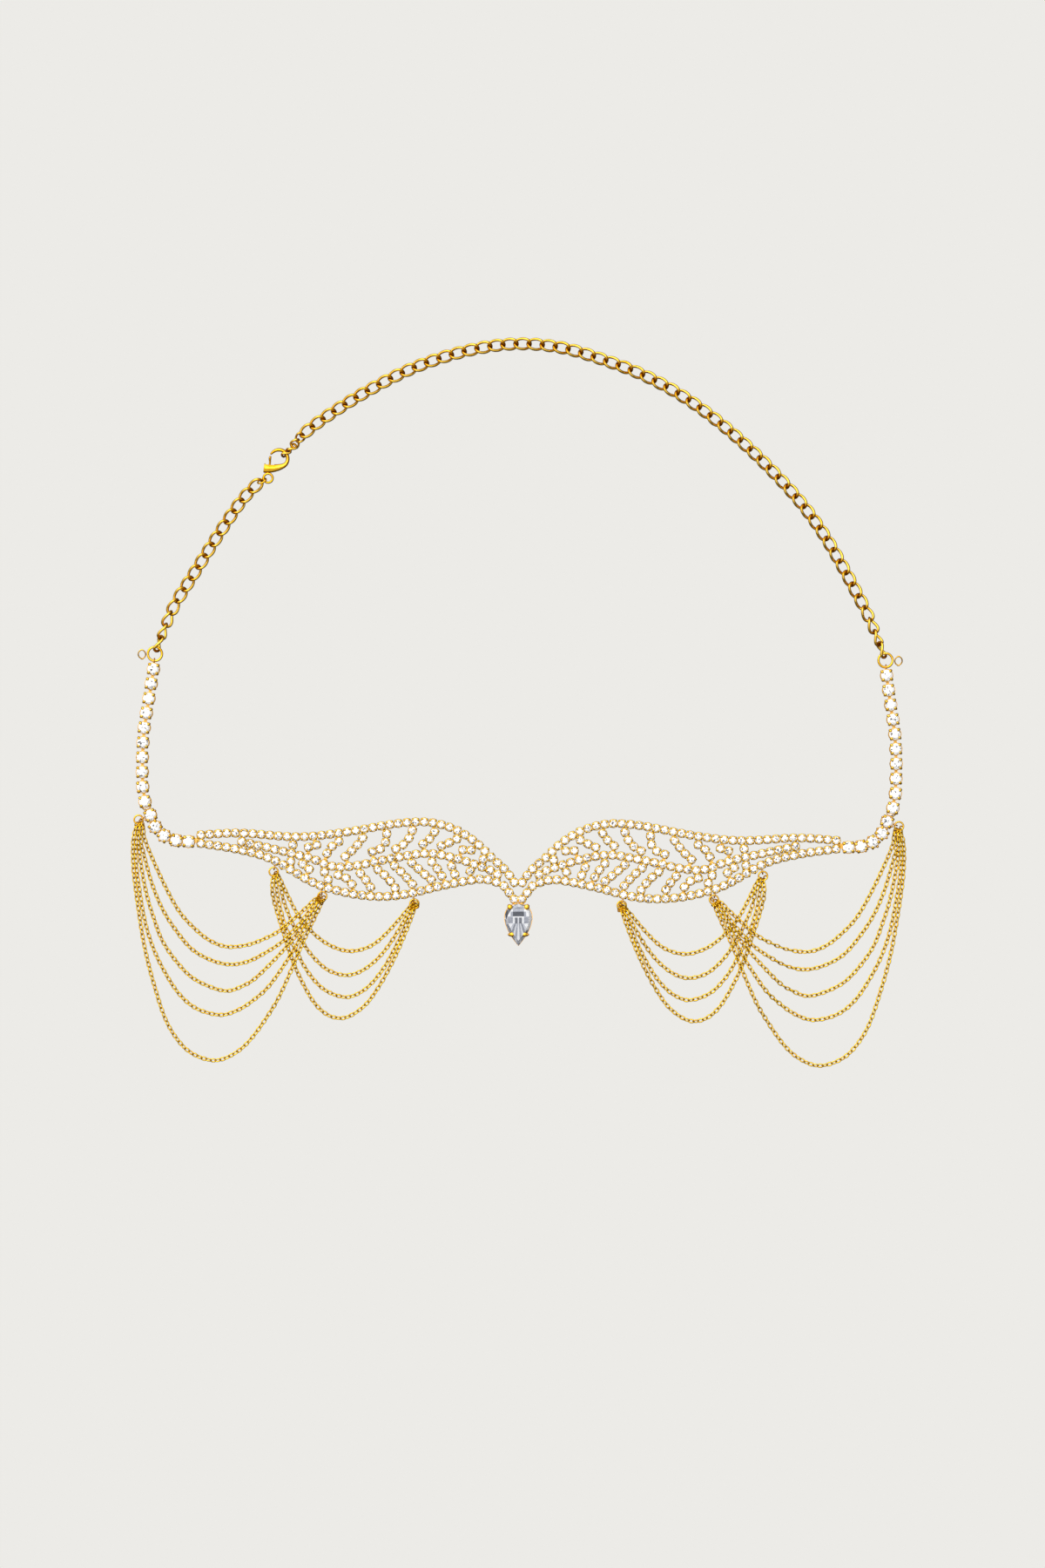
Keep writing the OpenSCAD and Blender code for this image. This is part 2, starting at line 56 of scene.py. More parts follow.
def makeCamera():
    data = bpy.data.cameras.new("camera")
    data.sensor_fit = "VERTICAL"
    data.sensor_height = cameraSettings["sensorHeight"]
    data.lens = cameraSettings["lens"]
    scale = photo["mmPerPixel"] * mm
    distance = photo["height"] * scale * data.lens / data.sensor_height
    camera = bpy.data.objects.new("camera", data)
    camera.location = ((photo["width"] / 2 - photo["middleX"]) * scale,
                       (photo["middleY"] - photo["height"] / 2) * scale, distance)
    data.clip_end = cameraSettings["farthest"] * mm
    scene.collection.objects.link(camera)
    scene.camera = camera


makeCamera()
print("camera is straight above the piece")


# materials

# an input is linked to another node's output or set to a value
def feed(tree, value, socket):
    if isinstance(value, bpy.types.NodeSocket):
        tree.links.new(value, socket)
    else:
        socket.default_value = value


def addNode(tree, kind, settings=None, **inputs):
    node = tree.nodes.new(kind)
    for key, value in (settings or {}).items():
        setattr(node, key, value)
    for key, value in inputs.items():
        feed(tree, value, next(s for s in node.inputs if s.name.replace(" ", "") == key and s.enabled))
    return node


def addMath(tree, operation, *values, kind="ShaderNodeMath"):
    node = addNode(tree, kind, {"operation": operation})
    for value, socket in zip(values, node.inputs):
        feed(tree, value, socket)
    return next(s for s in node.outputs if s.enabled)


def newMaterial(name):
    material = bpy.data.materials.new(name)
    material.use_nodes = True
    return material, material.node_tree.nodes["Principled BSDF"]


def mixColours(tree, share, first, second):
    mix = addNode(tree, "ShaderNodeMix", {"data_type": "RGBA"})
    feed(tree, share, mix.inputs[0])
    for value, socket in zip((first, second), [s for s in mix.inputs if s.type == "RGBA"]):
        feed(tree, value, socket)
    return next(s for s in mix.outputs if s.type == "RGBA")


def fillRamp(node, tones):
    steps = node.color_ramp.elements
    steps[0].position, steps[0].color = tones[0]
    steps[1].position, steps[1].color = tones[-1]
    for position, colour in tones[1:-1]:
        steps.new(position).color = colour


# gold finishes: "grain" is how fine the unevenness is, "tones" the two colours and "shine" the two
# roughnesses that it goes between; then the colour of painted shade on steep sides, the upward shares of the
# normal between which that painted shade fades out, and the colour of painted shade where links touch
gold = {
    "wing": {"grain": 900, "tones": [(0.64, 0.35, 0.012, 1), (0.9, 0.58, 0.08, 1)], "shine": (0.1, 0.26),
             "brown": (0.38, 0.18, 0.006, 1), "steep": (0, 0.92), "joint": (0.28, 0.13, 0.002, 1)},
    "chain": {"grain": 500, "tones": [(0.85, 0.43, 0.008, 1), (1, 0.63, 0.08, 1)], "shine": (0.12, 0.26),
              "brown": (0.54, 0.26, 0.003, 1), "steep": (0, 0.94), "joint": (0.46, 0.2, 0.002, 1)},
    # the clasp's gold is a darker copy of the chain's plating, with more shade on its sides: painted shade
    "clasp": {"grain": 500, "tones": [(0.66, 0.32, 0.004, 1), (0.9, 0.5, 0.04, 1)], "shine": (0.1, 0.22),
              "brown": (0.36, 0.16, 0.001, 1), "steep": (0.25, 0.98), "joint": (0.36, 0.16, 0.001, 1)},
    "fine": {"grain": 1200, "tones": [(0.92, 0.47, 0.005, 1), (1, 0.66, 0.045, 1)], "shine": (0.3, 0.42),
             "brown": (0.66, 0.3, 0.002, 1), "steep": (-0.5, 0.4), "joint": (0.34, 0.145, 0.001, 1)},
    "cup": {"grain": 900, "tones": [(0.58, 0.31, 0.05, 1), (0.8, 0.46, 0.12, 1)], "shine": (0.3, 0.42),
            "brown": (0.68, 0.34, 0.02, 1), "steep": (0, 0.9), "joint": (0.3, 0.12, 0.002, 1)},
    # the lever's gold is a much darker copy of the same plating: painted shade
    "lever": {"grain": 500, "tones": [(0.4, 0.18, 0.005, 1), (0.62, 0.32, 0.03, 1)], "shine": (0.2, 0.3),
              "brown": (0.2, 0.08, 0.001, 1), "steep": (0, 0.9), "joint": (0.2, 0.08, 0.001, 1)}}
plating = {"cloudDetail": 3, "linkSpread": 0.3, "toneFrom": 0.3, "toneTo": 0.62,
           "markDetail": 2, "markFiner": 6, "markStrength": 0.15, "markDepth": 0.04}


# gold plating, a little uneven in colour and shine, with fine wear marks
def platedGold(name, look):
    material, shader = newMaterial(name)
    tree = material.node_tree
    place = addNode(tree, "ShaderNodeTexCoord").outputs["Object"]
    clouds = addNode(tree, "ShaderNodeTexNoise", Vector=place, Scale=look["grain"],
                     Detail=plating["cloudDetail"])
    own = addNode(tree, "ShaderNodeAttribute", {"attribute_name": "linkShade"})
    tone = addMath(tree, "MULTIPLY_ADD", own.outputs["Fac"], plating["linkSpread"], clouds.outputs["Fac"])
    tint = addNode(tree, "ShaderNodeValToRGB", Fac=tone)
    fillRamp(tint, [(plating["toneFrom"], look["tones"][0]), (plating["toneTo"], look["tones"][1])])
    shine = addNode(tree, "ShaderNodeMapRange", Value=clouds.outputs["Fac"],
                    ToMin=look["shine"][0], ToMax=look["shine"][1])
    # painted shade: the colour turns towards a darker brown as the surface turns steeper
    normal = addNode(tree, "ShaderNodeTexCoord").outputs["Normal"]
    facing = addNode(tree, "ShaderNodeSeparateXYZ", Vector=normal)
    depth = addNode(tree, "ShaderNodeMapRange", Value=facing.outputs["Z"], FromMin=look["steep"][0],
                    FromMax=look["steep"][1])
    sideShaded = mixColours(tree, depth.outputs["Result"], look["brown"], tint.outputs["Color"])
    # painted shade where links touch, as each link's own mark says
    joint = addNode(tree, "ShaderNodeAttribute", {"attribute_name": "joint"})
    plated = mixColours(tree, joint.outputs["Fac"], sideShaded, look["joint"])
    marks = addNode(tree, "ShaderNodeTexNoise", Vector=place, Scale=look["grain"] * plating["markFiner"],
                    Detail=plating["markDetail"])
    bump = addNode(tree, "ShaderNodeBump", Height=marks.outputs["Fac"], Strength=plating["markStrength"],
                   Distance=plating["markDepth"] * mm)
    tree.links.new(plated, shader.inputs["Base Color"])
    tree.links.new(shine.outputs["Result"], shader.inputs["Roughness"])
    tree.links.new(bump.outputs["Normal"], shader.inputs["Normal"])
    shader.inputs["Metallic"].default_value = 1
    return material


# crystal: "tones" are the colours of the dark to bright reflections painted on its facets, "sparkle" is how
# much painted light and dark glints mix within a facet and "grain" how finely
crystal = {
    "small": {"tones": [(0.28, (0.05, 0.045, 0.05, 1)), (0.47, (0.32, 0.3, 0.3, 1)),
                        (0.67, (0.76, 0.74, 0.73, 1)), (0.86, (1, 1, 1, 1))],
              "sparkle": 0.8, "grain": 3200, "metallic": 0.1},
    "strap": {"tones": [(0.24, (0.06, 0.055, 0.06, 1)), (0.38, (0.36, 0.35, 0.35, 1)),
                        (0.54, (0.84, 0.83, 0.82, 1)), (0.68, (1, 1, 1, 1))],
              "sparkle": 0.8, "grain": 2600, "metallic": 0.1},
    "pear": {"tones": [(0.04, (0.03, 0.035, 0.05, 1)), (0.32, (0.15, 0.16, 0.19, 1)),
                       (0.6, (0.4, 0.42, 0.48, 1)), (0.98, (0.85, 0.86, 0.88, 1))],
             "sparkle": 0.1, "grain": 2600, "metallic": 0.3}}
polish = {"roughness": 0.07, "coat": 0.5, "coatRoughness": 0.02}


# foil-backed crystal: each facet carries a painted reflection, a shade from near black to white, with painted
# glints mixed in
def foiledCrystal(name, look):
    material, shader = newMaterial(name)
    tree = material.node_tree
    shade = addNode(tree, "ShaderNodeAttribute", {"attribute_name": "facetShade"})
    place = addNode(tree, "ShaderNodeTexCoord").outputs["Object"]
    sparks = addNode(tree, "ShaderNodeTexVoronoi", Vector=place, Scale=look["grain"])
    level = addNode(tree, "ShaderNodeSeparateColor", Color=sparks.outputs["Color"])
    mixed = addMath(tree, "MULTIPLY_ADD", level.outputs["Red"], look["sparkle"], shade.outputs["Fac"])
    ramp = addNode(tree, "ShaderNodeValToRGB", Fac=mixed)
    fillRamp(ramp, look["tones"])
    tree.links.new(ramp.outputs["Color"], shader.inputs["Base Color"])
    shader.inputs["Metallic"].default_value = look["metallic"]
    shader.inputs["Roughness"].default_value = polish["roughness"]
    shader.inputs["Coat Weight"].default_value = polish["coat"]
    shader.inputs["Coat Roughness"].default_value = polish["coatRoughness"]
    return material


wingGold = platedGold("wingGold", gold["wing"])
chainGold = platedGold("chainGold", gold["chain"])
fineGold = platedGold("fineGold", gold["fine"])
leverGoldShaded = platedGold("leverGoldShaded", gold["lever"])
cupGold = platedGold("cupGold", gold["cup"])
claspGoldShaded = platedGold("claspGoldShaded", gold["clasp"])
smallCrystal = foiledCrystal("smallCrystal", crystal["small"])
strapCrystal = foiledCrystal("strapCrystal", crystal["strap"])
pearCrystal = foiledCrystal("pearCrystal", crystal["pear"])
print("materials are ready")


# reading the frame: corners within "merge" are one corner, and a face is level when the upward share of
# its normal is over "level"
reading = {"merge": 0.002, "level": 0.99, "sameHeight": 0.02, "sortDigits": 5}


def mergedCad(node):
    mesh = bmesh.new()
    mesh.from_mesh(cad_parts[node].data)
    bmesh.ops.remove_doubles(mesh, verts=mesh.verts, dist=reading["merge"] * mm)
    return mesh


# corners of each island of faces, in the order of the faces, so that every run gives the same
def groups(faces):
    left = set(faces)
    found = []
    for first in faces:
        if first not in left:
            continue
        left.remove(first)
        island = [first]
        for face in island:
            for edge in face.edges:
                for other in edge.link_faces:
                    if other in left:
                        left.remove(other)
                        island.append(other)
        found.append(list(dict.fromkeys(v for face in island for v in face.verts)))
    return found


def middleOf(corners):
    low = [min(v.co[i] for v in corners) for i in range(3)]
    high = [max(v.co[i] for v in corners) for i in range(3)]
    return (Vector(low) + Vector(high)) / 2


# every level round floor at one height is the bottom of a stone's seat
def seatSpots(node, height):
    mesh = mergedCad(node)
    floors = [f for f in mesh.faces if f.normal.z > reading["level"]
              and abs(f.calc_center_median().z - height) < reading["sameHeight"] * mm]
    spots = [middleOf(corners) for corners in groups(floors)]
    mesh.free()
    digits = reading["sortDigits"]
    return sorted(spots, key=lambda p: (round(p.x, digits), round(p.y, digits)))


def pieceSpots(node):
    mesh = mergedCad(node)
    spots = [middleOf(corners) for corners in groups(mesh.faces)]
    mesh.free()
    return spots


# angle from each spot to the spot nearest to it
def rowTurns(spots):
    turns = []
    for spot in spots:
        near = min((p for p in spots if p is not spot), key=lambda p: (p - spot).length)
        turns.append(math.atan2(near.y - spot.y, near.x - spot.x))
    return turns


# making pieces

def meshFrom(name, edited):
    mesh = bpy.data.meshes.new(name)
    edited.to_mesh(mesh)
    edited.free()
    return mesh


def pieceFrom(name, mesh, material=None):
    piece = bpy.data.objects.new(name, mesh)
    scene.collection.objects.link(piece)
    if material is not None:
        mesh.materials.clear()
        mesh.materials.append(material)
    return piece


def settle(piece, slot, *nodes, onto=body):
    if nodes:
        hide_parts(*nodes)
    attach(piece, onto)


def newTree(name, inputs):
    tree = bpy.data.node_groups.new(name, "GeometryNodeTree")
    tree.interface.new_socket("Geometry", in_out="INPUT", socket_type="NodeSocketGeometry")
    for label, kind in inputs.items():
        tree.interface.new_socket(label, in_out="INPUT", socket_type="NodeSocket" + kind)
    tree.interface.new_socket("Geometry", in_out="OUTPUT", socket_type="NodeSocketGeometry")
    return tree, tree.nodes.new("NodeGroupInput").outputs


def finishTree(tree, instances, material, smooth):
    real = addNode(tree, "GeometryNodeRealizeInstances", Geometry=instances)
    shaded = addNode(tree, "GeometryNodeSetShadeSmooth", Geometry=real.outputs["Geometry"],
                     ShadeSmooth=smooth)
    coloured = addNode(tree, "GeometryNodeSetMaterial", Geometry=shaded.outputs["Geometry"],
                       Material=material)
    addNode(tree, "NodeGroupOutput", Geometry=coloured.outputs["Geometry"])


def runTree(name, source, tree, values):
    holder = pieceFrom(name + "Source", source)
    modifier = holder.modifiers.new("nodes", "NODES")
    modifier.node_group = tree
    for socket in tree.interface.items_tree:
        if socket.in_out == "INPUT" and socket.name in values:
            modifier[socket.identifier] = values[socket.name]
    seen = holder.evaluated_get(bpy.context.evaluated_depsgraph_get())
    mesh = bpy.data.meshes.new_from_object(seen)
    holder.modifiers.clear()
    bpy.data.objects.remove(holder)
    mesh.name = name
    return pieceFrom(name, mesh)


def pointMesh(name, spots, turns):
    mesh = bpy.data.meshes.new(name)
    mesh.from_pydata([tuple(p) for p in spots], [], [])
    attribute = mesh.attributes.new("turn", "FLOAT_VECTOR", "POINT")
    for item, turn in zip(attribute.data, turns):
        item.vector = turn
    return mesh


def lineMesh(name, points):
    mesh = bpy.data.meshes.new(name)
    mesh.from_pydata([tuple(p) for p in points], [(i, i + 1) for i in range(len(points) - 1)], [])
    return mesh


# copies on every point, turned as the point says
def placedCopies(tree, points, instance):
    turn = addNode(tree, "GeometryNodeInputNamedAttribute", {"data_type": "FLOAT_VECTOR"}, Name="turn")
    rotation = addNode(tree, "FunctionNodeEulerToRotation", Euler=turn.outputs["Attribute"])
    return addNode(tree, "GeometryNodeInstanceOnPoints", Points=points, Instance=instance,
                   Rotation=rotation.outputs["Rotation"]).outputs["Instances"]


def storedValue(tree, geometry, domain, name, value):
    return addNode(tree, "GeometryNodeStoreNamedAttribute", {"data_type": "FLOAT", "domain": domain},
                   Geometry=geometry, Name=name, Value=value).outputs["Geometry"]


# tree: a cut stone on every point, each facet with a painted reflection of its own, a random shade
def stoneTree():
    tree, given = newTree("cutStones", {"Stone": "Object", "Seed": "Int", "Material": "Material"})
    stone = addNode(tree, "GeometryNodeObjectInfo", Object=given["Stone"])
    copies = placedCopies(tree, given["Geometry"], stone.outputs["Geometry"])
    real = addNode(tree, "GeometryNodeRealizeInstances", Geometry=copies)
    shade = addNode(tree, "FunctionNodeRandomValue", {"data_type": "FLOAT"}, Seed=given["Seed"])
    stored = storedValue(tree, real.outputs["Geometry"], "FACE", "facetShade", shade.outputs["Value"])
    finishTree(tree, stored, given["Material"], False)
    return tree


rimShape = {"segments": 16, "wireSides": 5, "claws": 4, "clawTurn": 45, "clawForm": (1.2, 0.85, 0.7)}


# tree: a rounded rim and four claws round every point, each claw laid against the stone
def rimTree():
    tree, given = newTree("cupRims", {
        "Rim radius": "Float", "Rim wire": "Float", "Claw size": "Float", "Claw reach": "Float",
        "Claw rise": "Float", "Claw lean": "Float", "Material": "Material"})
    circle = addNode(tree, "GeometryNodeCurvePrimitiveCircle", Resolution=rimShape["segments"],
                     Radius=given["Rim radius"])
    wire = addNode(tree, "GeometryNodeCurvePrimitiveCircle", Resolution=rimShape["wireSides"],
                   Radius=given["Rim wire"])
    rim = addNode(tree, "GeometryNodeCurveToMesh", Curve=circle.outputs["Curve"],
                  ProfileCurve=wire.outputs["Curve"])
    corners = addNode(tree, "GeometryNodeMeshCircle", Vertices=rimShape["claws"], Radius=given["Claw reach"])
    lift = addNode(tree, "ShaderNodeCombineXYZ", Z=given["Claw rise"])
    raised = addNode(tree, "GeometryNodeTransform", Geometry=corners.outputs["Mesh"],
                     Translation=lift.outputs["Vector"],
                     Rotation=(0, 0, math.radians(rimShape["clawTurn"])))
    ball = addNode(tree, "GeometryNodeMeshIcoSphere", Radius=given["Claw size"], Subdivisions=2)
    flat = addNode(tree, "GeometryNodeTransform", Geometry=ball.outputs["Mesh"], Scale=rimShape["clawForm"])
    lean = addNode(tree, "FunctionNodeEulerToRotation",
                   Euler=addNode(tree, "ShaderNodeCombineXYZ", Y=given["Claw lean"]).outputs["Vector"])
    level = addMath(tree, "MULTIPLY", addNode(tree, "GeometryNodeInputPosition").outputs[0], (1, 1, 0),
                    kind="ShaderNodeVectorMath")
    outward = addNode(tree, "FunctionNodeAlignRotationToVector", {"axis": "X"}, Vector=level)
    leaning = addNode(tree, "FunctionNodeRotateRotation", {"rotation_space": "LOCAL"},
                      Rotation=outward.outputs["Rotation"], RotateBy=lean.outputs["Rotation"])
    prongs = addNode(tree, "GeometryNodeInstanceOnPoints", Points=raised.outputs["Geometry"],
                     Instance=flat.outputs["Geometry"], Rotation=leaning.outputs["Rotation"])
    cup = tree.nodes.new("GeometryNodeJoinGeometry")
    tree.links.new(rim.outputs["Mesh"], cup.inputs["Geometry"])
    tree.links.new(prongs.outputs["Instances"], cup.inputs["Geometry"])
    copies = placedCopies(tree, given["Geometry"], cup.outputs["Geometry"])
    finishTree(tree, copies, given["Material"], True)
    return tree


# painted shade: a link darkens between these shares of half its length, towards where the next link touches
# it
jointShadeSpan = {"from": 0.6, "to": 0.95}


# inside a chain's tree: one oval link, twisted where the twist isn't 0
def linkNodes(tree, given):
    circle = addNode(tree, "GeometryNodeCurvePrimitiveCircle", Resolution=given["Segments"], Radius=1.0)
    position = addNode(tree, "GeometryNodeInputPosition").outputs[0]
    x, y = addNode(tree, "ShaderNodeSeparateXYZ", Vector=position).outputs[:2]
    oval = addNode(tree, "ShaderNodeCombineXYZ", X=addMath(tree, "MULTIPLY", x, given["Half length"]),
                   Y=addMath(tree, "MULTIPLY", y, given["Half width"]),
                   Z=addMath(tree, "MULTIPLY", addMath(tree, "MULTIPLY", x, y), given["Twist"]))
    bent = addNode(tree, "GeometryNodeSetPosition", Geometry=circle.outputs["Curve"],
                   Position=oval.outputs["Vector"])
    wire = addNode(tree, "GeometryNodeCurvePrimitiveCircle", Resolution=given["Wire sides"],
                   Radius=given["Wire radius"])
    link = addNode(tree, "GeometryNodeCurveToMesh", Curve=bent.outputs["Geometry"],
                   ProfileCurve=wire.outputs["Curve"])
    # painted shade towards the ends of the link, where the next one touches it
    share = addMath(tree, "DIVIDE", addMath(tree, "ABSOLUTE", x), given["Half length"])
    joint = addNode(tree, "ShaderNodeMapRange", Value=share, FromMin=jointShadeSpan["from"],
                    FromMax=jointShadeSpan["to"])
    return storedValue(tree, link.outputs["Mesh"], "POINT", "joint", joint.outputs["Result"])


# a shade of its own for every link
def shadedLinks(tree, instances):
    shade = addNode(tree, "FunctionNodeRandomValue", {"data_type": "FLOAT"})
    return storedValue(tree, instances, "INSTANCE", "linkShade", shade.outputs["Value"])


linkInputs = {"Half length": "Float", "Half width": "Float", "Twist": "Float", "Wire radius": "Float",
              "Segments": "Int", "Wire sides": "Int", "Material": "Material"}


# tree: a link on every point
def placedLinksTree():
    tree, given = newTree("placedLinks", linkInputs)
    copies = placedCopies(tree, given["Geometry"], linkNodes(tree, given))
    finishTree(tree, shadedLinks(tree, copies), given["Material"], True)
    return tree


# tree: links threaded along a line, every second one rolled the other way
def cableTree():
    tree, given = newTree("cableChain", {"Pitch": "Float", "Flat roll": "Float", "Edge roll": "Float",
                                         "Wobble": "Float", "Seed": "Int", **linkInputs})
    line = addNode(tree, "GeometryNodeMeshToCurve", Mesh=given["Geometry"])
    even = addNode(tree, "GeometryNodeResampleCurve", {"mode": "LENGTH"}, Curve=line.outputs["Curve"],
                   Length=given["Pitch"])
    spots = addNode(tree, "GeometryNodeCurveToPoints", {"mode": "EVALUATED"}, Curve=even.outputs["Curve"])
    aim = addNode(tree, "FunctionNodeAlignRotationToVector", {"axis": "X"}, Vector=spots.outputs["Tangent"])
    second = addMath(tree, "MODULO", addNode(tree, "GeometryNodeInputIndex").outputs[0], 2)
    roll = addNode(tree, "GeometryNodeSwitch", {"input_type": "FLOAT"}, Switch=second,
                   **{"False": given["Flat roll"], "True": given["Edge roll"]})
    wobble = addNode(tree, "FunctionNodeRandomValue", {"data_type": "FLOAT"}, Seed=given["Seed"])
    swing = addMath(tree, "MULTIPLY", wobble.outputs["Value"], given["Wobble"])
    total = addMath(tree, "ADD", roll.outputs["Output"], swing)
    turn = addNode(tree, "FunctionNodeEulerToRotation",
                   Euler=addNode(tree, "ShaderNodeCombineXYZ", X=total).outputs["Vector"])
    rolled = addNode(tree, "FunctionNodeRotateRotation", {"rotation_space": "LOCAL"},
                     Rotation=aim.outputs["Rotation"], RotateBy=turn.outputs["Rotation"])
    copies = addNode(tree, "GeometryNodeInstanceOnPoints", Points=spots.outputs["Points"],
                     Instance=linkNodes(tree, given), Rotation=rolled.outputs["Rotation"])
    finishTree(tree, shadedLinks(tree, copies.outputs["Instances"]), given["Material"], True)
    return tree


# smooth line through a few points, as the part's own source draws it
def smoothLine(points, steps=8):
    last = len(points) - 1
    line = []
    for i in range(last):
        a, b, c, d = points[max(i - 1, 0)], points[i], points[i + 1], points[min(i + 2, last)]
        for k in range(steps):
            t = k / steps
            line.append(0.5 * (2 * b + (c - a) * t + (2 * a - 5 * b + 4 * c - d) * t * t
                               + (3 * b - 3 * c + d - a) * t * t * t))
    return line + [points[last]]


# a cut stone: every ring of corners follows one outline, a function of the share of the way round; of the
# sizes, "table", "star" and "foot" are shares of that outline and "starRise" a share of the crown's height
def cutStone(name, outline, sizes):
    mesh = bmesh.new()
    count, crown = sizes["facets"], sizes["crown"] * mm

    def ringAt(size, height, number, offset):
        corners = []
        for k in range(number):
            x, y = outline((k + offset) / number)
            corners.append(mesh.verts.new((x * size, y * size, height)))
        return corners

    table = ringAt(sizes["table"], crown, count, 0)
    stars = ringAt(sizes["star"], crown * sizes["starRise"], count, 0.5)
    girdle = ringAt(1, 0, 2 * count, 0)
    foot = ringAt(sizes["foot"], -(sizes["pavilion"] * mm), count, 0.5)
    top = mesh.verts.new((0, 0, crown))
    mesh.faces.new(list(reversed(foot)))
    for k in range(count):
        after = (k + 1) % count
        before = (k - 1) % count
        mesh.faces.new((top, table[k], table[after]))
        mesh.faces.new((table[k], stars[k], table[after]))
        mesh.faces.new((table[k], stars[before], girdle[2 * k], stars[k]))
        mesh.faces.new((stars[k], girdle[2 * k], girdle[2 * k + 1]))
        mesh.faces.new((stars[k], girdle[2 * k + 1], girdle[2 * after]))
        mesh.faces.new((foot[k], girdle[2 * k + 1], girdle[2 * k]))
        mesh.faces.new((foot[k], girdle[2 * after], girdle[2 * k + 1]))
        mesh.faces.new((foot[k], foot[after], girdle[2 * after]))
    bmesh.ops.triangulate(mesh, faces=[f for f in mesh.faces if len(f.verts) == 4])
    bmesh.ops.recalc_face_normals(mesh, faces=mesh.faces)
    return meshFrom(name, mesh)


def roundOutline(radius):
    return lambda share: (radius * math.cos(share * math.tau), radius * math.sin(share * math.tau))


# small stones of the wings: one in every seat of the frame
smallStone = {"radius": 1.0, "facets": 6, "seatFloor": 0.9, "girdle": 1.7, "crown": 0.32, "table": 0.58,
              "star": 0.8, "starRise": 0.66, "foot": 0.5, "pavilion": 0.6, "tilt": 5, "seed": 0}
# steps in radians that turn and tilt each stone a little differently, the same on every run
stoneSteps = {"leanX": 7.1, "leanY": 11.3, "turn": 2.4}


def roundStone(name, sizes):
    return pieceFrom(name, cutStone(name, roundOutline(sizes["radius"] * mm), sizes))


def stoneTurns(spots, tilt):
    lean = math.radians(tilt)
    return [(lean * math.sin(stoneSteps["leanX"] * i), lean * math.cos(stoneSteps["leanY"] * i),
             stoneSteps["turn"] * i % math.tau) for i in range(len(spots))]


def sideOf(spots, side):
    sign = -1 if side == "left" else 1
    return [p for p in spots if p.x * sign > 0]


def atHeight(spots, height):
    return [Vector((p.x, p.y, height * mm)) for p in spots]


# one side's round stones, in place of a node of the frame
def setStones(name, node, spots, template, sizes, seed, material):
    points = pointMesh("seats", spots, stoneTurns(spots, sizes["tilt"]))
    stones = runTree(name, points, stonesTree, {"Stone": template, "Seed": seed, "Material": material})
    settle(stones, "crystal", node)


stonesTree = stoneTree()
cupTree = rimTree()
seats = seatSpots("headpiece_frame", smallStone["seatFloor"] * mm)
template = roundStone("smallStoneCut", smallStone)
for seed, side in enumerate(sides, smallStone["seed"]):
    spots = atHeight(sideOf(seats, side), smallStone["girdle"])
    setStones("smallStones." + side, "small_stones_" + side, spots, template, smallStone, seed, smallCrystal)
bpy.data.objects.remove(template)
print("small stones:", len(seats))

# rims and claws of the cups: a thin rim, and claws that stand "reach" out from the stone's middle
smallCup = {"rim": 1.07, "wire": 0.17, "claw": 0.35, "reach": 1.03, "rise": 0.26, "lean": 34, "top": 1.5}
strapCup = {"rim": 1.58, "wire": 0.12, "claw": 0.48, "reach": 1.6, "rise": 0.38, "lean": 34, "top": 2.1}


def addCups(name, spots, cup):
    turns = [(0, 0, turn) for turn in rowTurns(spots)]
    rims = runTree(name, pointMesh("rims", atHeight(spots, cup["top"]), turns), cupTree, {
        "Rim radius": cup["rim"] * mm, "Rim wire": cup["wire"] * mm, "Claw size": cup["claw"] * mm,
        "Claw reach": cup["reach"] * mm, "Claw rise": cup["rise"] * mm,
        "Claw lean": math.radians(cup["lean"]), "Material": wingGold})
    settle(rims, "gold")


for side in sides:
    addCups("cupRims." + side, sideOf(seats, side), smallCup)
print("rims and claws are on the small cups")

# the larger stones of the straps and of the wings' outer ends
strapStone = {"radius": 1.56, "facets": 8, "girdle": 2.4, "crown": 0.48, "table": 0.58, "star": 0.8,
              "starRise": 0.66, "foot": 0.5, "pavilion": 0.6, "tilt": 3, "seed": 10}
template = roundStone("strapStoneCut", strapStone)
for seed, side in enumerate(sides, strapStone["seed"]):
    spots = atHeight(pieceSpots("strap_stones_" + side), strapStone["girdle"])
    setStones("strapStones." + side, "strap_stones_" + side, spots, template, strapStone, seed, strapCrystal)
    addCups("strapClaws." + side, spots, strapCup)
bpy.data.objects.remove(template)
print("strap stones are in their cups")

# the pear stone: "middleY" is its widest line, "below" and "above" are the lengths on either side of it,
# and "fullest" is the greatest value of the curve in pearOutline
pearStone = {"width": 7.4, "facets": 12, "middleY": -59.2, "below": 6.95, "above": 4.4, "fullest": 0.7698,
             "girdle": 3.1, "crown": 1.08, "table": 0.8, "star": 0.9, "starRise": 0.62, "foot": 0.5,
             "pavilion": 0.7}
# lines that split its table into flat pieces for its painted reflections, in millimetres up from the widest
# line and out from the middle, and in degrees of the rays that fan out from one point
pearLines = {"up": (3.1, 2.3, 1, 0.7, -0.9), "out": (-2.1, -1.5, -0.95, -0.2, 0.2, 0.95, 1.5, 2.1),
             "rays": (-30, -22, -15, -9, -3, 3, 9, 15, 22, 30), "raysFrom": 1.6}
